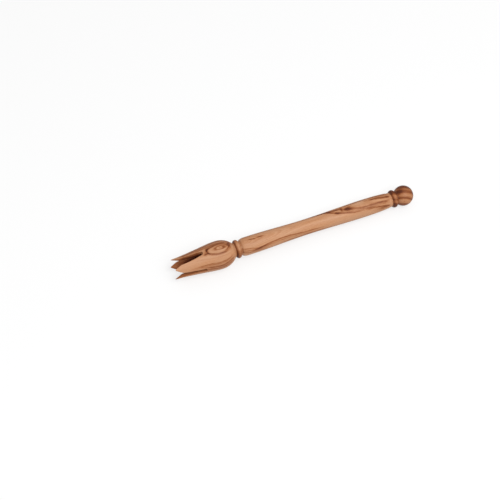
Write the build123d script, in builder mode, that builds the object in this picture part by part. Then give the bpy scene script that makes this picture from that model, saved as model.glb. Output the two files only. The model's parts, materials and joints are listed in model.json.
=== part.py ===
"""A turned olive-wood picking fork: a hollow tulip head with four tines, a slim handle and a ball finial.

The fork is turned in five lengths. The head and the finial are plugged into the handle with round
glued tenons, and a bead ring is threaded on each tenon to hide the joint.

Units are millimetres. Each piece is drawn as a half profile in the lathe plane, where x is the station
along the turning axis, from 0 at the tips of the tines to LENGTH at the end of the ball, and y is the
radius. The lathe plane leans a little, so that the fork rests on z = 0 on its head and on its ball.
"""

import os
from math import asin, cos, degrees, sin, sqrt

from build123d import *

os.makedirs("parts", exist_ok=True)

# ---- Turned outline: stations along the axis, and radii -----------------------------------------------
LENGTH = 170.0

TIP_R = 6.5  # outside of the head at the tips of the tines
PETAL_AT, PETAL_R = 14.9, 7.75  # half-way along the tines
CHEEK_AT, CHEEK_R = 22.9, 8.7  # where the tines grow out of the cup
BULGE_AT, BULGE_R = 31.6, 9.35  # widest part of the head
BACK_LONG = 11.8  # half length of the ellipse that rounds off the back of the head
BACK_END = 41.3  # where that ellipse drops into the neck groove
HEAD_END = 42.3  # face against the neck ring

GROOVE_R = 4.75  # bottom of every groove beside a ring
GROOVE_WALL = 0.3  # length taken by a groove's steep side

RING_LIP_R = 4.9  # radius of a ring at its side faces
RING_FLAT = 0.2  # flat at each side of a bead
NECK_RING_LONG, NECK_RING_R = 3.6, 6.15
FINIAL_RING_LONG, FINIAL_RING_R = 3.8, 6.0

HANDLE_START = HEAD_END + NECK_RING_LONG
SHOULDER_FOOT = HANDLE_START + 0.6
SHOULDER_AT, SHOULDER_R = 51.9, 6.08  # the handle's full radius behind the head
WAIST_AT, WAIST_R = 90.4, 5.15
SWELL_AT, SWELL_R = 137.4, 5.8  # the swell that fills the palm
STEP_AT, STEP_R = 151.1, 5.1  # small step down to a plain band
BAND_END, BAND_R = 152.7, 4.9
HANDLE_END = 153.7

BALL_R = 6.8
BALL_AT = LENGTH - BALL_R
BALL_START = BALL_AT - sqrt(BALL_R**2 - GROOVE_R**2)
FINIAL_START = HANDLE_END + FINIAL_RING_LONG

# ---- Hollow of the head and the notches between its tines ---------------------------------------------
BORE_R, BORE_START, BORE_END = 4.2, 14.0, 27.4  # straight drilled wall
DRILL_POINT = 2.8  # length of the cone at the bottom
THROAT_R, THROAT_AT = 4.5, 5.2  # slight taper in front of the straight wall, where an olive wedges
MOUTH_R = 6.15  # reamed mouth, which sharpens the tines from inside

NOTCHES = 4
NOTCH_DEPTH = 20.4
NOTCH_ROOT_R = 1.3  # round end of a notch
NOTCH_SIDE_AT, NOTCH_SIDE_HALF = 4.6, 2.4  # where a tine's point turns into its side
NOTCH_TIP_HALF = 4.4  # half width of a notch at the tips
NOTCH_SIDE_FILLET = 3.0
NOTCH_RUN_OUT = 1.0  # how far a notch is drawn past the tips
NOTCH_REACH = 12.0  # how far a notch is cut outwards from the axis

# ---- Glued tenons -------------------------------------------------------------------------------------
GLUE = 0.05  # glue line around a tenon
TENON_CHAMFER = 0.4
SOCKET_SPARE = 0.6  # room for glue behind a tenon's end
HEAD_TENON_R = 3.0
HEAD_TENON_END = HANDLE_START + 9.0
FINIAL_TENON_R = 2.5
FINIAL_TENON_END = HANDLE_END - 8.0

# ---- The lathe plane ----------------------------------------------------------------------------------
LEAN = asin((BULGE_R - BALL_R) / (BALL_AT - BULGE_AT))
lathe = Plane(
    origin=(-LENGTH / 2 * cos(LEAN), 0, BALL_R + BALL_AT * sin(LEAN)),
    x_dir=(cos(LEAN), 0, -sin(LEAN)),
    z_dir=(0, -1, 0),
)
turning_axis = Axis(lathe.origin, lathe.x_dir)


def notch_outline():
    """A notch as seen from outside: wide between the tips, then narrowing to a round end."""
    root = NOTCH_DEPTH - NOTCH_ROOT_R
    run_out_half = NOTCH_TIP_HALF + (NOTCH_TIP_HALF - NOTCH_SIDE_HALF) * NOTCH_RUN_OUT / NOTCH_SIDE_AT
    Polyline(
        (root, NOTCH_ROOT_R),
        (NOTCH_SIDE_AT, NOTCH_SIDE_HALF),
        (-NOTCH_RUN_OUT, run_out_half),
        (-NOTCH_RUN_OUT, -run_out_half),
        (NOTCH_SIDE_AT, -NOTCH_SIDE_HALF),
        (root, -NOTCH_ROOT_R),
    )
    ThreePointArc((root, NOTCH_ROOT_R), (NOTCH_DEPTH, 0), (root, -NOTCH_ROOT_R))


def ring_outline(start, long, bead_r, hole_r):
    """A bead between two short flats, above the hole for the tenon."""
    end = start + long
    ThreePointArc(
        (start + RING_FLAT, RING_LIP_R),
        (start + long / 2, bead_r),
        (end - RING_FLAT, RING_LIP_R),
    )
    Polyline(
        (end - RING_FLAT, RING_LIP_R),
        (end, RING_LIP_R),
        (end, hole_r),
        (start, hole_r),
        (start, RING_LIP_R),
        (start + RING_FLAT, RING_LIP_R),
    )


# ---- Fork head: turned and bored, then notched into four tines ----------------------------------------
back_r = BULGE_R * sqrt(1 - ((BACK_END - BULGE_AT) / BACK_LONG) ** 2)
back_angle = degrees(asin(back_r / BULGE_R))

with BuildPart() as fork_head:
    with BuildSketch(lathe):
        with BuildLine():
            Spline(
                (0, TIP_R),
                (PETAL_AT, PETAL_R),
                (CHEEK_AT, CHEEK_R),
                (BULGE_AT, BULGE_R),
                tangents=((1, 0.04), (1, 0)),
            )
            EllipticalCenterArc(
                (BULGE_AT, 0), BACK_LONG, BULGE_R, start_angle=back_angle, arc_size=90 - back_angle
            )
            Polyline(
                (BACK_END, back_r),
                (BACK_END + GROOVE_WALL, GROOVE_R),
                (HEAD_END, GROOVE_R),
                (HEAD_END, HEAD_TENON_R),
                (HEAD_TENON_END - TENON_CHAMFER, HEAD_TENON_R),
                (HEAD_TENON_END, HEAD_TENON_R - TENON_CHAMFER),
                (HEAD_TENON_END, 0),
                (BORE_END + DRILL_POINT, 0),
                (BORE_END, BORE_R),
                (BORE_START, BORE_R),
                (THROAT_AT, THROAT_R),
                (0, MOUTH_R),
                (0, TIP_R),
            )
        make_face()
    revolve(axis=turning_axis)
    for number in range(NOTCHES):
        facing = lathe.z_dir.rotate(turning_axis, 360 / NOTCHES * number)
        notch_plane = Plane(origin=lathe.origin, x_dir=lathe.x_dir, z_dir=facing)
        with BuildSketch(notch_plane):
            with BuildLine():
                notch_outline()
            make_face()
            fillet(vertices().group_by(Axis.X)[1], radius=NOTCH_SIDE_FILLET)
        extrude(amount=NOTCH_REACH, mode=Mode.SUBTRACT)
fork_head.part.label = "fork_head"
export_step(fork_head.part, "parts/fork_head.step")

# ---- Neck ring: the bead between the head and the handle ----------------------------------------------
with BuildPart() as neck_ring:
    with BuildSketch(lathe):
        with BuildLine():
            ring_outline(HEAD_END, NECK_RING_LONG, NECK_RING_R, HEAD_TENON_R + GLUE)
        make_face()
    revolve(axis=turning_axis)
neck_ring.part.label = "neck_ring"
export_step(neck_ring.part, "parts/neck_ring.step")

# ---- Handle: shoulder, waist and swell, with a blind socket in each end -------------------------------
with BuildPart() as handle:
    with BuildSketch(lathe):
        with BuildLine():
            Line((HANDLE_START, GROOVE_R), (SHOULDER_FOOT, GROOVE_R))
            Spline(
                (SHOULDER_FOOT, GROOVE_R),
                (SHOULDER_AT, SHOULDER_R),
                tangents=((0.5, 1), (1, 0)),
            )
            Spline(
                (SHOULDER_AT, SHOULDER_R),
                (WAIST_AT, WAIST_R),
                (SWELL_AT, SWELL_R),
                (STEP_AT, STEP_R),
                tangents=((1, 0), (1, -0.12)),
            )
            Polyline(
                (STEP_AT, STEP_R),
                (STEP_AT + GROOVE_WALL, BAND_R),
                (BAND_END, BAND_R),
                (BAND_END + GROOVE_WALL, GROOVE_R),
                (HANDLE_END, GROOVE_R),
                (HANDLE_END, FINIAL_TENON_R + GLUE),
                (FINIAL_TENON_END - SOCKET_SPARE, FINIAL_TENON_R + GLUE),
                (FINIAL_TENON_END - SOCKET_SPARE, 0),
                (HEAD_TENON_END + SOCKET_SPARE, 0),
                (HEAD_TENON_END + SOCKET_SPARE, HEAD_TENON_R + GLUE),
                (HANDLE_START, HEAD_TENON_R + GLUE),
                (HANDLE_START, GROOVE_R),
            )
        make_face()
    revolve(axis=turning_axis)
handle.part.label = "handle"
export_step(handle.part, "parts/handle.step")

# ---- Finial ring: the bead between the handle and the ball --------------------------------------------
with BuildPart() as finial_ring:
    with BuildSketch(lathe):
        with BuildLine():
            ring_outline(HANDLE_END, FINIAL_RING_LONG, FINIAL_RING_R, FINIAL_TENON_R + GLUE)
        make_face()
    revolve(axis=turning_axis)
finial_ring.part.label = "finial_ring"
export_step(finial_ring.part, "parts/finial_ring.step")

# ---- Ball finial: ball, short neck, and the tenon that runs through the finial ring -------------------
with BuildPart() as ball_finial:
    with BuildSketch(lathe):
        with BuildLine():
            ThreePointArc((BALL_START, GROOVE_R), (BALL_AT, BALL_R), (LENGTH, 0))
            Polyline(
                (LENGTH, 0),
                (FINIAL_TENON_END, 0),
                (FINIAL_TENON_END, FINIAL_TENON_R - TENON_CHAMFER),
                (FINIAL_TENON_END + TENON_CHAMFER, FINIAL_TENON_R),
                (FINIAL_START, FINIAL_TENON_R),
                (FINIAL_START, GROOVE_R),
                (BALL_START, GROOVE_R),
            )
        make_face()
    revolve(axis=turning_axis)
ball_finial.part.label = "ball_finial"
export_step(ball_finial.part, "parts/ball_finial.step")
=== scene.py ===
"""Looks for the turned olive-wood picking fork: finished meshes and olive wood around the CAD frame.

Every piece is turned again, finer, on the outline of its CAD node, which is measured here by casting rays at
the node. Lengths in the modelling code are millimetres, named stations (along the turning axis, from 0 at the
tips of the tines) and radii. Angles are degrees round the axis: 0 faces the viewer (-Y) and 90 is up.
"""
import json
import math

import bmesh
import bpy
import numpy as np
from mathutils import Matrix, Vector, noise
from mathutils.bvhtree import BVHTree


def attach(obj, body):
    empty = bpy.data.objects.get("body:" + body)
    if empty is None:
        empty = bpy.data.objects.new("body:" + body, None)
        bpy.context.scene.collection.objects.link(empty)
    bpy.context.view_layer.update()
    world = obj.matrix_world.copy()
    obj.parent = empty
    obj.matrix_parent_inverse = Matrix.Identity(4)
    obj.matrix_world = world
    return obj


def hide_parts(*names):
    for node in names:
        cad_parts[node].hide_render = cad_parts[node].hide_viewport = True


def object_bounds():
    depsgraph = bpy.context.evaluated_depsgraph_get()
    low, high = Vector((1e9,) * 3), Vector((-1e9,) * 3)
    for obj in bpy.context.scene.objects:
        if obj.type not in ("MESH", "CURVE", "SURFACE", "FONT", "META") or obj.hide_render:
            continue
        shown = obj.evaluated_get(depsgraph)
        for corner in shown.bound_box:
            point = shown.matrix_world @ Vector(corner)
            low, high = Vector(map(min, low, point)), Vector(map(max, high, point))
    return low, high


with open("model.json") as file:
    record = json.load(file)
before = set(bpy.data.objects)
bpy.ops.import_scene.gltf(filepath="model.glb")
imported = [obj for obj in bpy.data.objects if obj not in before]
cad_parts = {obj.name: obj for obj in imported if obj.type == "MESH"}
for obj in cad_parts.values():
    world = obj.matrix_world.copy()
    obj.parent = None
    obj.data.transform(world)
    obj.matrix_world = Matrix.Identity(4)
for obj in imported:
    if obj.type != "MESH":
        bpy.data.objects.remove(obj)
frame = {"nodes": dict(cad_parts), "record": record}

cad_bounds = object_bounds()
MM = 0.001

# ---- The lathe's frame, read from the record and the fork head ----------------------------------------
mounts = {mount["name"]: mount for mount in frame["record"]["mounts"]}
ALONG = Vector(mounts["grip"]["axis"]).normalized()  # from the tines to the ball
SIDE = Vector((0.0, 1.0, 0.0))
RISE = ALONG.cross(SIDE)
GRIP = Vector(mounts["grip"]["pos_m"])


def ends_from_grip(node):
    """The two ends of a CAD node along the axis, as distances from GRIP."""
    points = np.array([v.co for v in frame["nodes"][node].data.vertices])
    along = (points - np.array(GRIP)) @ np.array(ALONG)
    return along.min() / MM, along.max() / MM


TIPS_FROM_GRIP = ends_from_grip("fork_head")[0]
START = GRIP + ALONG * TIPS_FROM_GRIP * MM  # station 0


def span(node):
    """First and last station of a CAD node."""
    low, high = ends_from_grip(node)
    return low - TIPS_FROM_GRIP, high - TIPS_FROM_GRIP


def spoke(angle):
    """Unit vector out from the turning axis."""
    return math.cos(math.radians(angle)) * -SIDE + math.sin(math.radians(angle)) * RISE


def spot(station, angle, radius):
    """A point in the row frame, in metres."""
    return START + ALONG * (station * MM) + spoke(angle) * (radius * MM)


# ---- Measuring the CAD nodes ---------------------------------------------------------------------------
FAR = 30.0  # outside every piece
AHEAD = 5.0  # how far in front of a piece, or behind it, a ray along the axis starts
OFF_NOTCHES = 45.3  # degrees round the axis where no notch is in the way
NOTCH_HEIGHTS = (3.6, 8.0)  # heights above the axis between which a notch's wall is looked for
NOTCH_RAYS = 23
INSET = 0.01  # how far inside its two ends a piece is measured
FINE, SPACING = 0.1, 0.3  # steps along an outline, as it is measured and as it is kept
CORNER_TURN = 0.06  # radians between two fine steps that make a corner
CORNER_REACH = 5  # fine steps that a corner keeps from being smoothed or thinned


def tree_of(node):
    mesh = frame["nodes"][node].data
    return BVHTree.FromPolygons([v.co for v in mesh.vertices], [p.vertices for p in mesh.polygons])


def cast(tree, origin, direction):
    """Distance in millimetres to the node's surface, or None."""
    distance = tree.ray_cast(origin, direction)[3]
    return None if distance is None else distance / MM


def outer_radius(tree, station):
    hit = cast(tree, spot(station, OFF_NOTCHES, FAR), -spoke(OFF_NOTCHES))
    return 0.0 if hit is None else FAR - hit


def inner_radius(tree, station):
    return cast(tree, spot(station, OFF_NOTCHES, 0.0), spoke(OFF_NOTCHES)) or 0.0


def met_from_front(tree, first, angle, radius):
    """Station where a ray along the axis, from in front of the node's first station, meets the node."""
    begin = first - AHEAD
    return begin + cast(tree, spot(begin, angle, radius), ALONG)


def met_from_behind(tree, last, angle, radius):
    """The same from behind the node's last station."""
    begin = last + AHEAD
    return begin - cast(tree, spot(begin, angle, radius), -ALONG)


def notch_half_width(tree, station):
    """Half width of a notch: the nearest wall, seen sideways from its middle plane."""
    heights = np.linspace(*NOTCH_HEIGHTS, NOTCH_RAYS)
    walls = [cast(tree, spot(station, 90, height), SIDE) for height in heights]
    return min(wall for wall in walls if wall is not None)


def smoothed(radii, passes, gentle):
    """Irons out the CAD mesh's facets where the outline turns gently, and leaves its corners."""
    radii = np.array(radii)
    for _ in range(passes):
        mean = radii.copy()
        mean[1:-1] = (radii[:-2] + 2 * radii[1:-1] + radii[2:]) / 4
        radii = np.where(gentle, mean, radii)
    return radii


def outline(node, passes):
    """The node's outer outline as (stations, radii), thinned to what the shape needs."""
    tree = tree_of(node)
    first, last = span(node)
    stations = np.linspace(first + INSET, last - INSET, int((last - first) / FINE))
    radii = np.array([outer_radius(tree, s) for s in stations])
    slope = np.diff(radii) / np.diff(stations)
    turn = np.zeros(len(radii))
    turn[1:-1] = np.abs(np.diff(np.arctan(slope)))
    near_corner = np.convolve(turn > CORNER_TURN, np.ones(CORNER_REACH), "same") > 0
    gentle = ~near_corner
    gentle[[0, -1]] = False
    radii = smoothed(radii, passes, gentle)
    kept = [0]
    for i in range(1, len(stations) - 1):
        if near_corner[i] or stations[i] - stations[kept[-1]] >= SPACING - FINE / 2:
            kept.append(i)
    kept.append(len(stations) - 1)
    stations = stations[kept]
    stations[0], stations[-1] = first, last
    return stations, radii[kept]


# ---- Mesh helpers --------------------------------------------------------------------------------------
SEGMENTS = 144  # round a turned piece
POLE_R = 1e-6  # radius under which a ring is a single point
SHARP_FROM = 50  # degrees between two faces from which their edge stays sharp
SANDING_DEPTH, SANDING_SIZE = 0.07, 9.0  # broad waves that hand sanding leaves
FLAT_DEPTH, FLAT_SIZE, FLAT_SEED = 0.025, 2.2, 7  # small flats
TURNING_DEPTH, TURNING_STEP = 0.006, 0.62  # rings that the turning tool leaves


def wobble(station, angle, radius, size, seed):
    """Smooth noise from 0 to 1 on the surface, for the unevenness of hand sanding."""
    a = math.radians(angle)
    point = Vector((station / size, radius * math.cos(a) / size, radius * math.sin(a) / size + seed))
    return 0.5 + 0.5 * noise.noise(point)


def sanded(station, angle, radius, seed):
    """How far hand turning and sanding left the surface below its nominal radius."""
    broad = SANDING_DEPTH * wobble(station, angle, radius, SANDING_SIZE, seed)
    flats = FLAT_DEPTH * wobble(station, angle, radius, FLAT_SIZE, seed + FLAT_SEED)
    turning = TURNING_DEPTH * (1 + math.sin(station * 2 * math.pi / TURNING_STEP))
    return broad + flats + turning


def link(thing):
    bpy.context.scene.collection.objects.link(thing)


def new_piece(name, mesh, materials, node):
    mesh.validate()
    piece = bpy.data.objects.new(name, mesh)
    link(piece)
    for material in materials:
        mesh.materials.append(material)
    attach(piece, "root")
    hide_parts(node)


def shade(mesh):
    mesh.shade_smooth()
    mesh.set_sharp_from_angle(angle=math.radians(SHARP_FROM))


def ring(station, radius, seed):
    """Points round the axis, or a single one at a pole."""
    if radius < POLE_R:
        return [spot(station, 0, 0)]
    angles = [360 * k / SEGMENTS for k in range(SEGMENTS)]
    return [spot(station, angle, radius - sanded(station, angle, radius, seed)) for angle in angles]


def band(a, b):
    """Faces between two rings of vertex numbers, one of which may be a pole."""
    faces = []
    for k in range(SEGMENTS):
        n = (k + 1) % SEGMENTS
        if len(a) == 1:
            faces.append((a[0], b[k], b[n]))
        elif len(b) == 1:
            faces.append((a[k], b[0], a[n]))
        else:
            faces.append((a[k], b[k], b[n], a[n]))
    return faces


def turned_mesh(name, stations, radii, seed, closed=False):
    """A surface of revolution. closed joins its last ring to its first, round a hole."""
    verts, rings, faces = [], [], []
    for station, radius in zip(stations, radii):
        points = ring(station, radius, seed)
        rings.append(range(len(verts), len(verts) + len(points)))
        verts.extend(points)
    following = rings[1:] + rings[:1] if closed else rings[1:]
    for a, b in zip(rings, following):
        faces.extend(band(a, b))
    mesh = bpy.data.meshes.new(name)
    mesh.from_pydata(verts, [], faces)
    bm = bmesh.new()
    bm.from_mesh(mesh)
    bmesh.ops.recalc_face_normals(bm, faces=bm.faces)
    bm.to_mesh(mesh)
    bm.free()
    shade(mesh)
    return mesh


# ---- Fork head -----------------------------------------------------------------------------------------
TINES = 4
QUARTER = 90  # degrees from the middle of one notch to the middle of the next
TURNED, CUT = 0, 1  # the head's two materials
OUTSIDE, INSIDE = -1, 1  # the way that the softened edges of a tine's two sides turn
COLUMNS = 34  # round one quarter of the head
CORNER = 4  # points across a softened edge
WALL = 7  # points across a notch wall
SOFT = 0.24  # radius of the softened edges
THIN_SOFT = 0.3  # most that a softened edge takes of the wood's thickness
SHUT = (0.0, 0.0)  # half widths of the notches behind their roots
# The saw didn't cut alike each time. Tines count round from the front upper one, notches from the front one.
TIP_SET_BACK = (0.4, 0.4, 0.35, 0.0)  # how much shorter a tine is
TIP_TURN = (2.0, 0.0, -6.0, 1.0)  # degrees that a tine's tip is turned round the axis
TIP_REACH = 12  # how far back from its tip a tine is moved
NOTCH_SPREAD = (-0.55, 0.27, -0.40, -0.05)  # how much wider a notch is on each side
NOTCH_SHIFT = (0.0, -0.27, 0.1, 0.08)  # how far it is shifted round the axis

ROOT_PROBE_R = 6.3  # radius at which a ray along a notch meets its root
ROOT_R, ROOT_ROWS = 1.3, 9  # a notch's round end, and rows of points along it
TIP_ROW, TINE_ROWS = 0.14, 48  # first row of points behind the tip, and rows up to the round end
NOSE = 0.12  # how far the tip's point is in front of the first row
EDGE_ROWS = ((0.12, 0.35), (0.3, 0.0))  # distances behind the root, and shares of the edge's softness left
BACK_FROM = 0.35  # distance behind the root where the outline's own rows start
BORE_STEP = 0.5  # between rows of points in the bore
BORE_SEARCH = 0.1  # steps in which the bore's end is looked for
BORE_SAME = 0.99  # share of the bore's radius above which it still counts as the bore
DRILL_ROWS = (0.75, 0.5, 0.25)  # shares of the bore's radius on the cone at its bottom
WELD, COLLAPSE = 0.002, 0.0005  # lengths under which points are merged and slivers removed


def arc_points(radius, first, last, count):
    angles = np.radians(np.linspace(first, last, count))
    return np.stack([radius * np.cos(angles), radius * np.sin(angles)], 1)


def edge_curve(begin, corner, end, count):
    """A softened edge: a quadratic curve from begin to end that is drawn towards the corner."""
    t = np.linspace(0, 1, count + 2)[1:-1, None]
    return (1 - t) ** 2 * begin + 2 * t * (1 - t) * corner + t**2 * end


def unit(angle):
    return np.array([math.cos(math.radians(angle)), math.sin(math.radians(angle))])


def strip(quarter, radius, halves, soft, drop, side):
    """One side of a tine's section, OUTSIDE or INSIDE, with its two softened edges.

    halves are the half widths of the notches beside it, and drop is how far its edges turn in.
    """
    first, last = QUARTER * quarter, QUARTER * quarter + QUARTER
    widest = math.sin(math.radians(QUARTER / 2))
    lean_a, lean_b = (math.degrees(math.asin(min(half / radius, widest))) for half in halves)
    roll = math.degrees(soft / radius)
    roll = min(roll, (last - first - lean_a - lean_b) / 3)
    a0, b0 = first + lean_a, last - lean_b
    corner_a = radius * unit(a0)
    corner_b = radius * unit(b0)
    body = arc_points(radius, a0 + roll, b0 - roll, COLUMNS + 1)
    wall_a = corner_a + side * drop * unit(first)
    wall_b = corner_b + side * drop * unit(last)
    rise_a = edge_curve(wall_a, corner_a, body[0], CORNER)
    fall_b = edge_curve(body[-1], corner_b, wall_b, CORNER)
    return np.concatenate([[wall_a], rise_a, body, fall_b, [wall_b]])


def lift(station, flat, turn=0.0):
    """A flat section across the axis as points in the row frame, turned round the axis."""
    c, s = math.cos(math.radians(turn)), math.sin(math.radians(turn))
    turned = [(p[0] * c - p[1] * s, p[0] * s + p[1] * c) for p in flat]
    return [START + ALONG * (station * MM) - SIDE * (x * MM) + RISE * (y * MM) for x, y in turned]


class HeadMeasures:
    """What the fork head's CAD node measures."""

    def __init__(self):
        self.tree = tree_of("fork_head")
        self.root = met_from_front(self.tree, 0, 90, ROOT_PROBE_R)
        self.bore_bottom = met_from_front(self.tree, 0, 90, 0)
        least = BORE_SAME * self.inner(self.root)
        search = np.arange(self.root, self.bore_bottom, BORE_SEARCH)
        self.bore_end = max(s for s in search if self.inner(s) > least)
        self.stations, self.radii = outline("fork_head", passes=60)

    def outer(self, station):
        return float(np.interp(station, self.stations, self.radii))

    def inner(self, station):
        return inner_radius(self.tree, station)

    def tine_stations(self):
        """Stations along a tine, which crowd together towards the notch's round end."""
        arc = np.linspace(0, math.pi / 2, ROOT_ROWS)
        before_root = self.root - ROOT_R * (1 - np.cos(arc))[::-1]
        return np.concatenate([np.linspace(TIP_ROW, before_root[0], TINE_ROWS)[:-1], before_root])


class Patches:
    """Grids of quads, laid side by side and welded later."""

    def __init__(self):
        self.verts, self.faces, self.kinds = [], [], []

    def lay(self, rows, kind, flip=False):
        """Adds a grid through rows of points that all have the same length."""
        base = len(self.verts)
        width = len(rows[0])
        for row in rows:
            self.verts.extend(row)
        for i in range(len(rows) - 1):
            for j in range(width - 1):
                a = base + i * width + j
                quad = (a, a + 1, a + width + 1, a + width)
                self.faces.append(quad[::-1] if flip else quad)
                self.kinds.append(kind)


def tine_row(head, quarter, station):
    """A tine's outer side, inner side and two walls at one station."""
    near_tip = max(0.0, 1 - station / TIP_REACH) ** 2
    at = station + TIP_SET_BACK[quarter] * near_tip
    turn = TIP_TURN[quarter] * near_tip
    at_root = station > head.root - 1e-6
    half = 0.0 if at_root else notch_half_width(head.tree, station)
    uneven = math.sin(math.pi * min(station / head.root, 1.0))
    after = (quarter + 1) % TINES
    half_a = half + uneven * (NOTCH_SPREAD[quarter] + NOTCH_SHIFT[quarter])
    half_b = half + uneven * (NOTCH_SPREAD[after] - NOTCH_SHIFT[after])
    halves = (max(half_a, 0.0), max(half_b, 0.0))
    r_out, r_in = head.outer(station), head.inner(station)
    soft = min(SOFT, THIN_SOFT * (r_out - r_in))
    top = strip(quarter, r_out, halves, soft, soft, OUTSIDE)
    bottom = strip(quarter, r_in, halves, soft, soft, INSIDE)
    blend = np.linspace(0, 1, WALL)[:, None]
    wall_a = top[0] * (1 - blend) + bottom[0] * blend
    wall_b = top[-1] * (1 - blend) + bottom[-1] * blend
    return [lift(at, flat, turn) for flat in (top, bottom, wall_a, wall_b)]


def lay_tine(patches, outer, inner, wall_a, wall_b):
    """Skins a tine and closes it at its tip."""
    middle = sum(outer[0] + inner[0], Vector()) / (2 * len(outer[0]))
    nose = [middle - ALONG * NOSE * MM] * len(outer[0])
    cap = nose[:WALL]
    patches.lay([nose] + outer, TURNED)
    patches.lay([nose] + inner, CUT, flip=True)
    patches.lay([cap] + wall_a, CUT, flip=True)
    patches.lay([cap] + wall_b, CUT)


def lay_back(patches, head, quarter, edge):
    """Skins the cup and the tenon behind a tine, on from the tine's last outer row."""
    rows = [edge]
    for past, share in EDGE_ROWS:
        s = head.root + past
        rows.append(lift(s, strip(quarter, head.outer(s), SHUT, SOFT, SOFT * share, OUTSIDE)))
    back = [s for s in head.stations if s > head.root + BACK_FROM]
    for s in back:
        rows.append(lift(s, strip(quarter, head.outer(s), SHUT, SOFT, 0.0, OUTSIDE)))
    rows.append(lift(back[-1], np.zeros((len(edge), 2))))
    patches.lay(rows, TURNED)


def lay_hollow(patches, head, quarter, edge):
    """Lines the hollow behind a tine down to the drill's point, on from the tine's last inner row."""
    rows = [edge]
    for past, share in EDGE_ROWS:
        s = head.root + past
        rows.append(lift(s, strip(quarter, head.inner(s), SHUT, SOFT, SOFT * share, INSIDE)))
    for s in list(np.arange(head.root + BORE_STEP, head.bore_end, BORE_STEP)) + [head.bore_end]:
        rows.append(lift(s, strip(quarter, head.inner(s), SHUT, SOFT, 0.0, INSIDE)))
    for share in DRILL_ROWS:
        s = head.bore_end + (head.bore_bottom - head.bore_end) * (1 - share)
        r = head.inner(head.bore_end) * share
        rows.append(lift(s, strip(quarter, r, SHUT, SOFT * share, 0.0, INSIDE)))
    rows.append(lift(head.bore_bottom, np.zeros((len(edge), 2))))
    patches.lay(rows, CUT, flip=True)


def head_mesh(name):
    head = HeadMeasures()
    patches = Patches()
    for quarter in range(TINES):
        rows = [tine_row(head, quarter, station) for station in head.tine_stations()]
        outer, inner, wall_a, wall_b = (list(side) for side in zip(*rows))
        lay_tine(patches, outer, inner, wall_a, wall_b)
        lay_back(patches, head, quarter, outer[-1])
        lay_hollow(patches, head, quarter, inner[-1])
    mesh = bpy.data.meshes.new(name)
    mesh.from_pydata(patches.verts, [], patches.faces)
    mesh.polygons.foreach_set("material_index", patches.kinds)
    bm = bmesh.new()
    bm.from_mesh(mesh)
    bmesh.ops.remove_doubles(bm, verts=bm.verts, dist=WELD * MM)
    bmesh.ops.dissolve_degenerate(bm, edges=bm.edges, dist=COLLAPSE * MM)
    bmesh.ops.recalc_face_normals(bm, faces=bm.faces)
    roughen_head(bm)
    bm.to_mesh(mesh)
    bm.free()
    shade(mesh)
    return mesh


HEAD_SEED = 3.0
SMOOTH_TIP = 4  # distance from the tips over which the roughness sets in
TEAR_LONG, TEAR_WIDE, TEAR_DEPTH = 0.8, 0.5, 0.03  # torn grain on the cut faces
SAW_MARKS, SAW_SLANT, SAW_WAVER, SAW_DEPTH = 1.6, 0.5, 0.4, 0.02  # marks per millimetre along and outwards


def cut_depth(station, across, up):
    """How deep saw and drill marks go at a point of a cut face."""
    tear = noise.noise(Vector((station / TEAR_LONG, across / TEAR_WIDE, up / TEAR_WIDE)))
    marks = station * SAW_MARKS + math.hypot(across, up) * SAW_SLANT + SAW_WAVER * tear
    return SAW_DEPTH * (1 + math.sin(2 * math.pi * marks)) + TEAR_DEPTH * (1 + tear) / 2


def roughen_head(bm):
    """Sanding unevenness outside, and the marks of saw and drill on the cut faces."""
    bm.normal_update()
    moves = []
    for v in bm.verts:
        p = v.co - START
        station = p.dot(ALONG) / MM
        across, up = -p.dot(SIDE) / MM, p.dot(RISE) / MM
        if all(f.material_index == CUT for f in v.link_faces):
            depth = cut_depth(station, across, up)
        else:
            angle = math.degrees(math.atan2(up, across))
            depth = sanded(station, angle, math.hypot(across, up), HEAD_SEED)
        fade = min(1.0, station / SMOOTH_TIP)
        moves.append(v.normal * (-depth * fade * MM))
    for v, move in zip(bm.verts, moves):
        v.co += move


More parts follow.
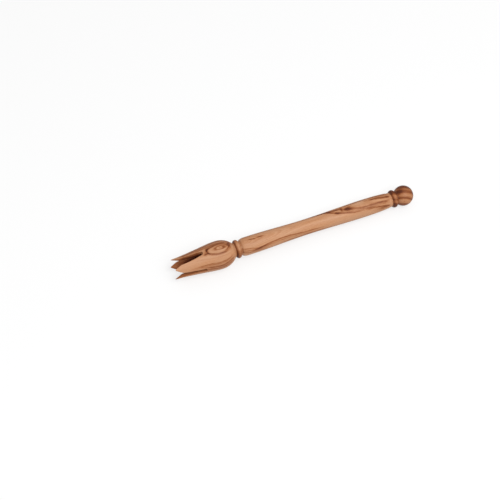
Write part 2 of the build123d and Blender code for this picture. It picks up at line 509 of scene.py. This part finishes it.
# ---- Olive wood ----------------------------------------------------------------------------------------
class Shader:
    """Short names for making and wiring shader nodes."""

    def __init__(self, name):
        self.material = bpy.data.materials.new(name)
        self.material.use_nodes = True
        self.tree = self.material.node_tree
        self.principled = self.tree.nodes["Principled BSDF"]

    def put(self, socket, value):
        if isinstance(value, bpy.types.NodeSocket):
            self.tree.links.new(value, socket)
        else:
            socket.default_value = value

    def node(self, kind, **inputs):
        made = self.tree.nodes.new("ShaderNode" + kind)
        for key, value in inputs.items():
            self.put(made.inputs[key.replace("_", " ")], value)
        return made

    def math(self, operation, a, b=0.0, c=0.0, clamp=False):
        made = self.tree.nodes.new("ShaderNodeMath")
        made.operation = operation
        made.use_clamp = clamp
        for socket, value in zip(made.inputs, (a, b, c)):
            self.put(socket, value)
        return made.outputs[0]

    def vector(self, operation, a, b=(0, 0, 0)):
        made = self.tree.nodes.new("ShaderNodeVectorMath")
        made.operation = operation
        self.put(made.inputs[0], a)
        self.put(made.inputs["Scale" if operation == "SCALE" else 1], b)
        return made.outputs[0]

    def noise(self, where, detail=2.0, rough=0.5, scale=1.0, dimensions="3D"):
        made = self.tree.nodes.new("ShaderNodeTexNoise")
        made.noise_dimensions = dimensions
        self.put(made.inputs["W" if dimensions == "1D" else "Vector"], where)
        made.inputs["Scale"].default_value = scale
        made.inputs["Detail"].default_value = detail
        made.inputs["Roughness"].default_value = rough
        return made

    def ramp(self, value, stops):
        made = self.tree.nodes.new("ShaderNodeValToRGB")
        elements = made.color_ramp.elements
        while len(elements) < len(stops):
            elements.new(0.5)
        for element, (position, colour) in zip(elements, stops):
            element.position = position
            element.color = colour if isinstance(colour, tuple) else (colour, colour, colour, 1.0)
        self.put(made.inputs["Fac"], value)
        return made.outputs["Color"]

    def curve(self, value, points, reach):
        """A smooth curve through points, whose heights lie between -reach and reach."""
        low, high = points[0][0], points[-1][0]
        made = self.tree.nodes.new("ShaderNodeFloatCurve")
        knots = made.mapping.curves[0].points
        for _ in points[2:]:
            knots.new(0.5, 0.5)
        for knot, (at, height) in zip(knots, points):
            knot.location = ((at - low) / (high - low), 0.5 + 0.5 * height / reach)
        made.mapping.update()
        share = self.math("MULTIPLY_ADD", value, 1 / (high - low), -low / (high - low))
        self.put(made.inputs["Value"], share)
        return self.math("MULTIPLY_ADD", made.outputs[0], 2 * reach, -reach), share

    def mix(self, share, a, b, blend="MIX"):
        made = self.tree.nodes.new("ShaderNodeMix")
        made.data_type = "RGBA"
        made.blend_type = blend
        for name, value in (("Factor_Float", share), ("A_Color", a), ("B_Color", b)):
            self.put(next(s for s in made.inputs if s.identifier == name), value)
        return next(s for s in made.outputs if s.identifier == "Result_Color")


# Colours of the wood from its palest to its darkest growth. A figure's tones run along them from 0 to 1.
WOOD = (
    (0.00, (0.485, 0.275, 0.160, 1.0)),
    (0.22, (0.432, 0.224, 0.121, 1.0)),
    (0.42, (0.362, 0.163, 0.076, 1.0)),
    (0.60, (0.268, 0.097, 0.034, 1.0)),
    (0.78, (0.172, 0.047, 0.011, 1.0)),
    (1.00, (0.080, 0.016, 0.003, 1.0)),
)
BLUSH_TINT = (0.99, 0.88, 0.74, 1.0)  # redder clouds in the wood
CUT_TINT = (0.80, 0.66, 0.54, 1.0)  # a sawn face drinks more oil
HOLLOW_SHADE_TINT = (0.30, 0.095, 0.03, 1.0)  # painted shade deep in the hollow
LAYERS_FROM, LAYERS_TO = -12.0, 14.0  # depths through the growth layers that a figure's stops span
HIGHEST_RISE, WIDEST_ANGLE = 10.0, 180.0  # reach of the curves that bend layers and lines

# Sizes of the wood's details: along the grain and across it.
SWIRLS = (30, 8)
PATCHES = (14, 2.4)
WAVES = (6, 1.6)
BREAKS = (3.0, 0.35)
FIBRES = (4.5, 0.2)
PORES = (1.8, 0.24)
BLUSHES = (16, 5)
WAVE_SIZE = 1.0  # how far the waves move a line
BANDS, HAIRS = 1.9, 6.5  # how closely the fine bands and the hairlines follow each other in the layers

# How much each detail adds to the tone.
HAIR_SHARE = 0.45  # of the figure's contrast
FIBRE_TONE, PORE_TONE = 0.26, 0.18

# Shares of a detail, as (factor, addend).
BAND_PATCH, HAIR_PATCH = (2.0, -0.3), (-1.2, 1.0)  # hairlines show where the bands fade
BREAK_SHARE = (1.4, 0.35)  # of a figure's marks
BLUSH_SHARE = (1.6, -0.55)
HOLLOW_SHADE_INWARD = (-0.45, 2.9)  # painted shade of the hollow, from none at the outside to all at the hollow's wall
HOLLOW_SHADE_DEEPER = (0.10, -0.15)  # painted shade of the hollow, from none at the tips to all of it by station 11.5
PORE_FROM, PORE_EDGE = 0.64, 9.0  # noise above which there is a pore, and how sharp its edge is

RELIEF_HIGH = 0.05  # how far fibres and pores stand out
FIBRE_RELIEF, PORE_RELIEF = 0.6, -0.8
FIBRE_ROUGH, PORE_ROUGH = 0.22, 0.15
TURNED_ROUGH, CUT_ROUGH = 0.38, 0.58
TURNED_BUMP, CUT_BUMP = 0.4, 0.9
TURNED_GLOSS, CUT_GLOSS = 0.22, 0.12


def lathe_position(sh):
    """Station, distance behind the axis and height above it, in millimetres, at the shaded point."""
    coordinates = sh.node("TexCoord").outputs["Object"]
    mapping = sh.node("Mapping", Vector=coordinates)
    mapping.inputs["Location"].default_value = (
        -START.dot(ALONG) / MM,
        -START.dot(SIDE) / MM,
        -START.dot(RISE) / MM,
    )
    mapping.inputs["Rotation"].default_value = (0.0, math.asin(ALONG.z), 0.0)
    mapping.inputs["Scale"].default_value = (1 / MM, 1 / MM, 1 / MM)
    return mapping.outputs["Vector"]


def stretched(sh, place, sizes, seed=0.0):
    """The shaded point for a noise whose grains have these sizes along the piece and across it."""
    along, across = sizes
    scaled = sh.vector("MULTIPLY", place, (1 / along, 1 / across, 1 / across))
    return sh.vector("ADD", scaled, (seed, seed * 0.7, -seed))


def cloud(sh, place, sizes, seed, detail, rough):
    """Noise from 0 to 1 over the piece."""
    return sh.noise(stretched(sh, place, sizes, seed), detail, rough).outputs["Fac"]


def waver(sh, place, sizes, reach, seed):
    """Moves the shaded point about a little, so that no line in the wood runs true."""
    swirl = sh.noise(stretched(sh, place, sizes, seed), 2.0, 0.5).outputs["Color"]
    swirl = sh.vector("SUBTRACT", swirl, (0.5, 0.5, 0.5))
    return sh.vector("ADD", place, sh.vector("SCALE", swirl, reach))


def growth_depth(sh, place, figure):
    """How deep the shaded point lies in the growth layers, which bend along and across the piece."""
    bent = waver(sh, place, SWIRLS, figure["swirl"], figure["seed"])
    station, back, up = sh.node("SeparateXYZ", Vector=bent).outputs
    a = math.radians(figure["towards"])
    depth = sh.math("MULTIPLY_ADD", up, math.sin(a), sh.math("MULTIPLY", back, -math.cos(a)))
    across = sh.math("MULTIPLY_ADD", up, math.cos(a), sh.math("MULTIPLY", back, math.sin(a)))
    bow = sh.math("MULTIPLY", sh.math("MULTIPLY", across, across), -figure["bow"])
    climb = sh.curve(station, figure["rises"], HIGHEST_RISE)[0]
    return sh.math("ADD", sh.math("ADD", depth, bow), climb)


def layered_tone(sh, place, figure):
    """The figure's own bands of growth, then finer ones that come and go along the piece."""
    seed = figure["seed"]
    depth = growth_depth(sh, place, figure)
    spread = LAYERS_TO - LAYERS_FROM
    level = sh.math("MULTIPLY_ADD", depth, 1 / spread, -LAYERS_FROM / spread)
    tone = sh.ramp(level, [((at - LAYERS_FROM) / spread, value) for at, value in figure["layers"]])
    fine = sh.noise(sh.math("ADD", depth, seed * 3), 3.0, 0.62, BANDS, "1D").outputs["Fac"]
    hair = sh.noise(sh.math("ADD", depth, seed * 5), 1.0, 0.5, HAIRS, "1D").outputs["Fac"]
    patch = cloud(sh, place, PATCHES, seed, 2.0, 0.55)
    fine = sh.math("MULTIPLY", sh.math("SUBTRACT", fine, 0.5), sh.math("MULTIPLY_ADD", patch, *BAND_PATCH))
    hair = sh.math("MULTIPLY", sh.math("SUBTRACT", hair, 0.5), sh.math("MULTIPLY_ADD", patch, *HAIR_PATCH))
    tone = sh.math("MULTIPLY_ADD", fine, figure["contrast"], tone)
    return sh.math("MULTIPLY_ADD", hair, HAIR_SHARE * figure["contrast"], tone)


def round_the_axis(sh, place):
    """Station, angle round the axis in degrees, and radius."""
    station, back, up = sh.node("SeparateXYZ", Vector=place).outputs
    radius = sh.math("SQRT", sh.math("ADD", sh.math("MULTIPLY", back, back), sh.math("MULTIPLY", up, up)))
    angle = sh.math("ARCTAN2", up, sh.math("MULTIPLY", back, -1.0))
    return station, sh.math("MULTIPLY", angle, math.degrees(1)), radius


def bell(sh, ratio):
    """1 where the ratio is 0, falling off smoothly past 1."""
    return sh.math("EXPONENT", sh.math("MULTIPLY", sh.math("MULTIPLY", ratio, ratio), -1.0))


def grain_line(sh, station, angle, radius, line):
    """A line along the grain: its path, its widths above and below it, its strength and its two fades."""
    path, above, below, strength, fade_in, fade_out = line
    course, share = sh.curve(station, path, WIDEST_ANGLE)
    off = sh.math("MULTIPLY", sh.math("SUBTRACT", angle, course), radius)
    off = sh.math("MULTIPLY", off, math.radians(1))
    ratio = sh.math("MAXIMUM", sh.math("MULTIPLY", off, 1 / above), sh.math("MULTIPLY", off, -1 / below))
    rise = sh.math("MULTIPLY", share, 1 / fade_in, clamp=True)
    fall = sh.math("MULTIPLY_ADD", share, -1 / fade_out, 1 / fade_out, clamp=True)
    weight = sh.math("MULTIPLY", sh.math("MULTIPLY", rise, fall), strength)
    return sh.math("MULTIPLY", bell(sh, ratio), weight)


def oval(sh, station, angle, radius, mark):
    """A filled oval in the grain, or an outline only where the mark gives its relative width."""
    centre, halves, ring_width, strength = mark
    along = sh.math("MULTIPLY", sh.math("SUBTRACT", station, centre[0]), 1 / halves[0])
    across = sh.math("MULTIPLY", sh.math("SUBTRACT", angle, centre[1]), radius)
    across = sh.math("MULTIPLY", across, math.radians(1) / halves[1])
    size = sh.math("ADD", sh.math("MULTIPLY", along, along), sh.math("MULTIPLY", across, across))
    size = sh.math("SQRT", size)
    if ring_width:
        size = sh.math("MULTIPLY", sh.math("SUBTRACT", size, 1.0), 1 / ring_width)
    return sh.math("MULTIPLY", bell(sh, size), strength)


def figure_marks(sh, place, figure, station, angle, radius):
    """The figure's own lines and ovals, broken up along the fibres."""
    marks = 0.0
    for line in figure["lines"]:
        marks = sh.math("ADD", grain_line(sh, station, angle, radius, line), marks)
    for mark in figure["ovals"]:
        marks = sh.math("ADD", oval(sh, station, angle, radius, mark), marks)
    broken = cloud(sh, place, BREAKS, figure["seed"], 2.0, 0.6)
    return sh.math("MULTIPLY", marks, sh.math("MULTIPLY_ADD", broken, *BREAK_SHARE))


def with_groove_shade_and_dust(sh, place, tone):
    """Adds painted shade in the grooves beside the rings, together with the dust and oil that settled there.
    """
    station = sh.node("SeparateXYZ", Vector=place).outputs[0]
    # each groove's dark line is painted shade together with settled dust and oil
    for groove, width, strength in GROOVE_SHADE_AND_DUST:
        near = bell(sh, sh.math("MULTIPLY", sh.math("SUBTRACT", station, groove), 1 / width))
        tone = sh.math("MULTIPLY_ADD", near, strength, tone)
    return tone


def tinted(sh, share, colour, tint):
    """The colour multiplied by the tint, as far as share says."""
    return sh.mix(share, colour, sh.mix(1.0, colour, tint, "MULTIPLY"))


def cut_colour_and_hollow_shade(sh, colour, station, radius):
    """A sawn face's colour, with painted shade that gets darker inwards and down the hollow."""
    inward = sh.math("MULTIPLY_ADD", radius, *HOLLOW_SHADE_INWARD, clamp=True)
    deeper = sh.math("MULTIPLY_ADD", station, *HOLLOW_SHADE_DEEPER, clamp=True)
    colour = sh.mix(1.0, colour, CUT_TINT, "MULTIPLY")
    # painted shade, darker inwards and down the hollow
    return tinted(sh, sh.math("MULTIPLY", inward, deeper), colour, HOLLOW_SHADE_TINT)


def olive_wood(name, figure, cut=False):
    """Oiled olive wood. A cut surface is rougher than a turned one, and gets painted shade inside the hollow.
    """
    sh = Shader(name)
    place = lathe_position(sh)
    seed = figure["seed"]
    tone = layered_tone(sh, place, figure)
    station, angle, radius = round_the_axis(sh, waver(sh, place, WAVES, WAVE_SIZE, seed + 4))
    tone = sh.math("ADD", tone, figure_marks(sh, place, figure, station, angle, radius))
    # painted shade in the grooves beside the rings, together with settled dust and oil
    tone = with_groove_shade_and_dust(sh, place, tone)

    fibre = cloud(sh, place, FIBRES, 0.0, 3.0, 0.6)
    tone = sh.math("MULTIPLY_ADD", sh.math("SUBTRACT", fibre, 0.5), FIBRE_TONE, tone)
    pore = cloud(sh, place, PORES, 0.0, 1.0, 0.4)
    pore = sh.math("MULTIPLY", sh.math("SUBTRACT", pore, PORE_FROM), PORE_EDGE, clamp=True)
    tone = sh.math("MULTIPLY_ADD", pore, PORE_TONE, tone, clamp=True)

    colour = sh.ramp(tone, WOOD)
    blush = cloud(sh, place, BLUSHES, seed + 2, 2.0, 0.5)
    blush = sh.math("MULTIPLY_ADD", blush, *BLUSH_SHARE, clamp=True)
    colour = tinted(sh, blush, colour, BLUSH_TINT)
    if cut:
        # the sawn face's own tint, then painted shade inside the hollow
        colour = cut_colour_and_hollow_shade(sh, colour, station, radius)

    relief = sh.math("MULTIPLY_ADD", fibre, FIBRE_RELIEF, sh.math("MULTIPLY", pore, PORE_RELIEF))
    bump = sh.node("Bump", Height=relief)
    bump.inputs["Strength"].default_value = CUT_BUMP if cut else TURNED_BUMP
    bump.inputs["Distance"].default_value = RELIEF_HIGH * MM
    rough = sh.math("MULTIPLY_ADD", fibre, FIBRE_ROUGH, CUT_ROUGH if cut else TURNED_ROUGH)
    rough = sh.math("MULTIPLY_ADD", pore, PORE_ROUGH, rough)
    sh.put(sh.principled.inputs["Base Color"], colour)
    sh.put(sh.principled.inputs["Roughness"], rough)
    sh.put(sh.principled.inputs["Normal"], bump.outputs[0])
    sh.principled.inputs["Specular IOR Level"].default_value = CUT_GLOSS if cut else TURNED_GLOSS
    return sh.material


NECK, FINIAL = span("neck_ring"), span("finial_ring")
GROOVE_SHADE_AND_DUST = (  # station, half width and strength of the dark line in each groove: painted groove shade together with settled dust and oil
    (NECK[0] + 0.2, 0.80, 0.40),
    (NECK[1] + 0.2, 0.45, 0.22),
    (FINIAL[0] + 0.3, 0.80, 0.26),
    (FINIAL[1] + 0.3, 0.55, 0.26),
)

# A figure is the pattern of one blank of wood. Its layers are tones at depths along the direction towards,
# its lines are (path of stations and angles, widths above and below, strength, fades at the two ends), and
# its ovals are (station and angle, half lengths, ring width or 0, strength).
HEAD_FIGURE = {
    "seed": 1.7,
    "towards": 82.0,
    "bow": 0.055,
    "swirl": 0.9,
    "contrast": 0.75,
    "rises": ((0, 0.6), (10, 0.2), (20, -0.6), (28, -0.5), (34, 0.0), (42, 0.9), (60, 2.0)),
    "layers": (
        (-12, 0.38), (-6, 0.36), (-3, 0.42), (-1.5, 0.32), (1.0, 0.26), (3.4, 0.22), (4.1, 0.28), (4.5, 0.22),
        (5.6, 0.20), (7.0, 0.22), (7.6, 0.32), (8.3, 0.24), (8.9, 0.20), (9.6, 0.26), (14, 0.3),
    ),
    "lines": (
        (((22.4, 84), (24.3, 96), (27.4, 99), (31.4, 100), (35.0, 96), (38.4, 83)), 1.3, 0.7, 0.42,
         0.05, 0.05),
        (((22.4, 84), (24.9, 69), (28.0, 62), (31.4, 60), (35.0, 65), (38.4, 83)), 0.7, 1.0, 0.40,
         0.05, 0.05),
        (((8.5, 28), (13, 26), (18, 28), (23.5, 27), (28, 24), (32, 25), (36, 29), (40, 36)), 0.5, 1.2, 0.32,
         0.3, 0.1),
        (((16, 20), (22.3, 13), (26.0, 10), (29.7, 8), (33.0, 11), (36.7, 17), (41, 24)), 0.5, 1.0, 0.36,
         0.3, 0.1),
        (((18, 4), (24, -2), (30, -5), (36, 3), (40.5, 13)), 0.6, 1.0, 0.26, 0.2, 0.1),
        (((12, 103), (18, 105), (24, 107), (30, 109), (35.5, 105), (41, 92)), 0.7, 0.45, 0.34, 0.2, 0.2),
        (((4, 118), (16, 119), (24, 121), (31, 124), (37, 119), (42, 100)), 1.9, 1.3, 0.46, 0.1, 0.1),
        (((10, 142), (20, 146), (30, 148), (40, 130)), 1.2, 1.2, 0.34, 0.2, 0.2),
        (((9, 14), (14, 8), (18.5, 3), (21, -2)), 0.5, 0.7, 0.40, 0.2, 0.2),
        (((13, 60), (19, 56), (26, 50), (34, 48), (40, 56)), 0.3, 0.5, 0.12, 0.2, 0.2),
    ),
    "ovals": (
        ((32.0, 84.0), (3.4, 1.25), 0.34, 0.50),
        ((33.8, 83.0), (1.0, 0.5), 0, 0.45),
        ((31.6, 83.5), (1.2, 0.4), 0, 0.22),
        ((38.2, 86.0), (0.9, 1.9), 0, 0.40),
        ((23.2, 91.0), (0.9, 1.8), 0, 0.50),
        ((21.6, 74.5), (1.4, 0.8), 0, 0.50),
        ((38.9, 101.0), (1.2, 1.4), 0, 0.34),
    ),
}
HANDLE_FIGURE = {
    "seed": 4.3,
    "towards": 84.0,
    "bow": 0.02,
    "swirl": 0.8,
    "contrast": 0.62,
    "rises": ((45, 2.6), (60, 1.5), (80, 0.3), (98, 0.0), (112, 0.2), (125, 0.8), (140, 1.9), (155, 3.3)),
    "layers": (
        (-12, 0.34), (-5, 0.42), (-3, 0.52), (-2, 0.34), (0.5, 0.24), (3.0, 0.22), (3.8, 0.26), (5.0, 0.20),
        (5.8, 0.24), (6.5, 0.22), (7.2, 0.28), (8.2, 0.32), (14, 0.30),
    ),
    "lines": (
        (((52, 15), (58, 21), (63.2, 29), (69.8, 34), (76.8, 36), (84, 30), (91.2, 23), (98.3, 19), (107, 8)),
         0.28, 0.65, 0.44, 0.12, 0.25),
        (((50, 4), (57, 14), (64, 18), (72, 22), (79, 20), (87, 14), (96, 6), (104, 0)), 0.4, 0.8, 0.20,
         0.1, 0.3),
        (((45.9, 44), (49.3, 36), (52.5, 31), (55.8, 24), (59.1, 22), (67, 26)), 0.30, 0.7, 0.32, 0.02, 0.4),
        (((45.9, 30), (49.4, 22), (53.2, 16), (57.8, 11), (65, 12)), 0.35, 0.7, 0.32, 0.02, 0.4),
        (((45.9, 17), (49.1, 9), (53.0, 3), (59, -1), (69, 2)), 0.4, 0.7, 0.30, 0.02, 0.4),
        (((51.3, 94), (54.5, 89), (57.3, 84)), 0.35, 0.5, 0.60, 0.3, 0.3),
        (((56.3, 86), (59.1, 89), (62.8, 87)), 0.35, 0.45, 0.46, 0.3, 0.3),
        (((89, 138), (96.8, 131), (101.6, 125), (105.8, 119), (109.8, 114), (113, 109), (118.5, 102)),
         1.4, 0.8, 0.56, 0.35, 0.1),
        (((104, 118), (109.2, 106), (110.6, 95), (112.2, 86), (114.1, 79), (117.0, 70), (121.3, 58),
          (125, 49), (130, 42), (137, 38)), 0.9, 0.6, 0.46, 0.15, 0.45),
        (((118.5, 94), (122.2, 86), (126.1, 77), (130.1, 66), (138.2, 62), (143, 61), (148, 56), (152, 53)),
         0.6, 1.0, 0.42, 0.05, 0.1),
        (((118, 88), (121.5, 72), (126, 60), (132, 52), (142, 49), (152, 38)), 0.3, 0.6, 0.16, 0.1, 0.2),
        (((124, 102), (129.6, 101), (136, 101), (142, 84), (150, 73)), 0.9, 0.8, -0.16, 0.2, 0.2),
        (((136, 103), (140.5, 98), (143.2, 95), (146.6, 91), (150.0, 87), (153, 84)), 0.8, 1.0, 0.50,
         0.2, 0.1),
        (((133, 45), (137.3, 42), (141.1, 38), (144.6, 31), (148.3, 22), (152, 11)), 0.7, 1.0, 0.40,
         0.2, 0.1),
        (((117, 120), (127, 124), (139, 122), (153, 112)), 0.8, 0.8, 0.44, 0.1, 0.1),
        (((46, 122), (70, 124), (95, 120)), 1.1, 0.6, 0.24, 0.1, 0.3),
        (((70, -2), (84, -6), (100, -10), (112, -16)), 0.6, 0.6, 0.34, 0.2, 0.2),
        (((60, 178), (90, 160), (120, 165), (150, 150)), 0.8, 0.5, 0.40, 0.2, 0.2),
        (((46, -60), (75, -50), (105, -66), (152, -58)), 0.3, 0.8, 0.36, 0.1, 0.1),
    ),
    "ovals": (
        ((117.9, 97.0), (1.0, 1.8), 0, 0.55),
        ((122.4, 89.0), (3.2, 1.6), 0, 0.55),
        ((135.4, 102.0), (1.5, 0.6), 0, 0.46),
        ((114.4, 79.0), (1.9, 0.6), 0, 0.42),
        ((146.0, 11.0), (4.5, 1.5), 0, 0.30),
    ),
}
BALL_FIGURE = {
    "seed": 8.1,
    "towards": 146.0,
    "bow": 0.02,
    "swirl": 0.9,
    "contrast": 0.6,
    "rises": ((140, -8.4), (172, 3.2)),
    "layers": (
        (-12, 0.88), (-6.6, 0.82), (-5.6, 0.44), (-4.2, 0.34), (-3.5, 0.74), (-2.9, 0.82), (-2.3, 0.52),
        (-1.2, 0.42), (-0.2, 0.50), (0.5, 0.72), (1.3, 0.78), (2.0, 0.72), (2.5, 0.56), (3.5, 0.56),
        (4.2, 0.82), (5.0, 0.92), (14, 0.90),
    ),
    "lines": (),
    "ovals": (
        ((159.6, 90.0), (2.3, 2.2), 0, 0.40),
        ((170.4, 0.0), (2.0, 60.0), 0, 0.36),  # end grain all over the back of the ball
    ),
}
FINIAL_FIGURE = {
    "seed": 6.2,
    "towards": 146.0,
    "bow": 0.02,
    "swirl": 0.8,
    "contrast": 0.5,
    "rises": ((150, -2.0), (160, 2.0)),
    "layers": (
        (-12, 0.98), (-4.6, 0.94), (-3.6, 0.56), (-2.6, 0.52), (-1.8, 0.76), (-0.6, 0.56), (1.4, 0.46),
        (2.4, 0.76), (3.6, 0.94), (14, 0.98),
    ),
    "lines": (),
    "ovals": (),
}
NECK_FIGURE = {
    "seed": 2.6,
    "towards": 146.0,
    "bow": 0.02,
    "swirl": 0.8,
    "contrast": 0.5,
    "rises": ((40, -0.8), (50, 0.8)),
    "layers": (
        (-12, 0.7), (-5.0, 0.60), (-3.0, 0.54), (-1.6, 0.38), (0.4, 0.32), (2.2, 0.32), (4.2, 0.44),
        (5.6, 0.58), (14, 0.66),
    ),
    "lines": (),
    "ovals": (),
}

# ---- Pieces --------------------------------------------------------------------------------------------
BALL_INSET = 0.02  # how far the end of the ball stays inside the CAD box


def handle_outline():
    """The handle's outline with its two blind sockets, from one socket's bottom to the other's."""
    tree = tree_of("handle")
    first, last = span("handle")
    front_socket = inner_radius(tree, first + 1)
    back_socket = inner_radius(tree, last - 1)
    front_bottom = met_from_front(tree, first, 0, 0)
    back_bottom = met_from_behind(tree, last, 0, 0)
    s, r = outline("handle", passes=120)
    s = np.concatenate([[front_bottom, front_bottom, first], s, [last, back_bottom, back_bottom]])
    r = np.concatenate([[0.0, front_socket, front_socket], r, [back_socket, back_socket, 0.0]])
    return s, r


def ring_outline(node):
    """A bead ring's outline with the hole through it."""
    first, last = span(node)
    hole = inner_radius(tree_of(node), (first + last) / 2)
    s, r = outline(node, passes=0)
    return np.concatenate([s, [last, first]]), np.concatenate([r, [hole, hole]])


def ball_outline():
    """The outline of the ball and its tenon, closed at both ends."""
    first, last = span("ball_finial")
    s, r = outline("ball_finial", passes=3)
    end = last - BALL_INSET
    return np.concatenate([[first], s[:-1], [end, end]]), np.concatenate([[0.0], r, [0.0]])


head_woods = [olive_wood("olive_head", HEAD_FIGURE), olive_wood("olive_head_cut", HEAD_FIGURE, cut=True)]
new_piece("head_turned", head_mesh("head_turned"), head_woods, "fork_head")

handle_mesh = turned_mesh("handle_turned", *handle_outline(), seed=11.0)
new_piece("handle_turned", handle_mesh, [olive_wood("olive_handle", HANDLE_FIGURE)], "handle")

for node, figure in (("neck_ring", NECK_FIGURE), ("finial_ring", FINIAL_FIGURE)):
    mesh = turned_mesh(node + "_turned", *ring_outline(node), seed=21.0, closed=True)
    new_piece(node + "_turned", mesh, [olive_wood("olive_" + node, figure)], node)

ball_mesh = turned_mesh("ball_turned", *ball_outline(), seed=31.0)
new_piece("ball_turned", ball_mesh, [olive_wood("olive_ball", BALL_FIGURE)], "ball_finial")

# ---- Floor, light and camera ---------------------------------------------------------------------------
FLOOR_HALF = 3.0
PAPER_COLOUR, PAPER_ROUGH = (0.25, 0.25, 0.25, 1.0), 0.9
PAPER_GLOW = 0.68  # lifts the floor to the photo's white, and keeps its shadows faint
WHITE = (1.0, 1.0, 1.0, 1.0)
GLOW_LOW, GLOW_HIGH = 0.40, 0.85  # brightness of the studio at the horizon and overhead
KEY_AZIMUTH, KEY_ELEVATION, KEY_DISTANCE = 15, 58, 1.1
KEY_SIZE, KEY_POWER = 0.7, 10.3
AZIMUTH, ELEVATION, DISTANCE = -22.6, 53.86, 0.90
AIM_AHEAD, AIM_UP = 0.0318, 0.00337  # metres from the middle of the CAD box's foot to the aim
LENS, SENSOR = 100.0, 36.0


def bearing(azimuth, elevation):
    """Unit vector from the fork towards a place in the studio. Azimuth 0 is towards -Y."""
    a, e = math.radians(azimuth), math.radians(elevation)
    return Vector((math.sin(a) * math.cos(e), -math.cos(a) * math.cos(e), math.sin(e)))


def place_facing(thing, target, direction, distance):
    """Sets a lamp or the camera at a distance from the target, looking at it."""
    thing.location = target + direction * distance
    thing.rotation_mode = "QUATERNION"
    thing.rotation_quaternion = direction.to_track_quat("Z", "Y")
    link(thing)


floor_mesh = bpy.data.meshes.new("floor")
floor_z = cad_bounds[0].z
corners = [(x * FLOOR_HALF, y * FLOOR_HALF, floor_z) for x, y in ((-1, -1), (1, -1), (1, 1), (-1, 1))]
floor_mesh.from_pydata(corners, [], [(0, 1, 2, 3)])
floor = bpy.data.objects.new("floor", floor_mesh)
link(floor)
paper = Shader("paper")
paper.principled.inputs["Base Color"].default_value = PAPER_COLOUR
paper.principled.inputs["Roughness"].default_value = PAPER_ROUGH
paper.principled.inputs["Specular IOR Level"].default_value = 0.0
paper.principled.inputs["Emission Color"].default_value = WHITE
paper.principled.inputs["Emission Strength"].default_value = PAPER_GLOW
floor_mesh.materials.append(paper.material)

world = bpy.data.worlds.new("studio")
world.use_nodes = True
sky = world.node_tree
upward = sky.nodes.new("ShaderNodeSeparateXYZ")
sky.links.new(sky.nodes.new("ShaderNodeTexCoord").outputs["Generated"], upward.inputs[0])
glow = sky.nodes.new("ShaderNodeMapRange")
sky.links.new(upward.outputs["Z"], glow.inputs["Value"])
glow.inputs["To Min"].default_value = GLOW_LOW
glow.inputs["To Max"].default_value = GLOW_HIGH
sky.nodes["Background"].inputs["Color"].default_value = WHITE
sky.links.new(glow.outputs[0], sky.nodes["Background"].inputs["Strength"])
bpy.context.scene.world = world
bpy.context.scene.view_settings.view_transform = "Standard"

middle = (cad_bounds[0] + cad_bounds[1]) / 2
key = bpy.data.lights.new("key", "AREA")
key.size = KEY_SIZE
key.energy = KEY_POWER
key_lamp = bpy.data.objects.new("key", key)
place_facing(key_lamp, middle, bearing(KEY_AZIMUTH, KEY_ELEVATION), KEY_DISTANCE)

aim = Vector((middle.x - AIM_AHEAD, middle.y, cad_bounds[0].z + AIM_UP))
camera_data = bpy.data.cameras.new("camera")
camera_data.lens = LENS
camera_data.sensor_width = SENSOR
camera = bpy.data.objects.new("camera", camera_data)
place_facing(camera, aim, bearing(AZIMUTH, ELEVATION), DISTANCE)
bpy.context.scene.camera = camera
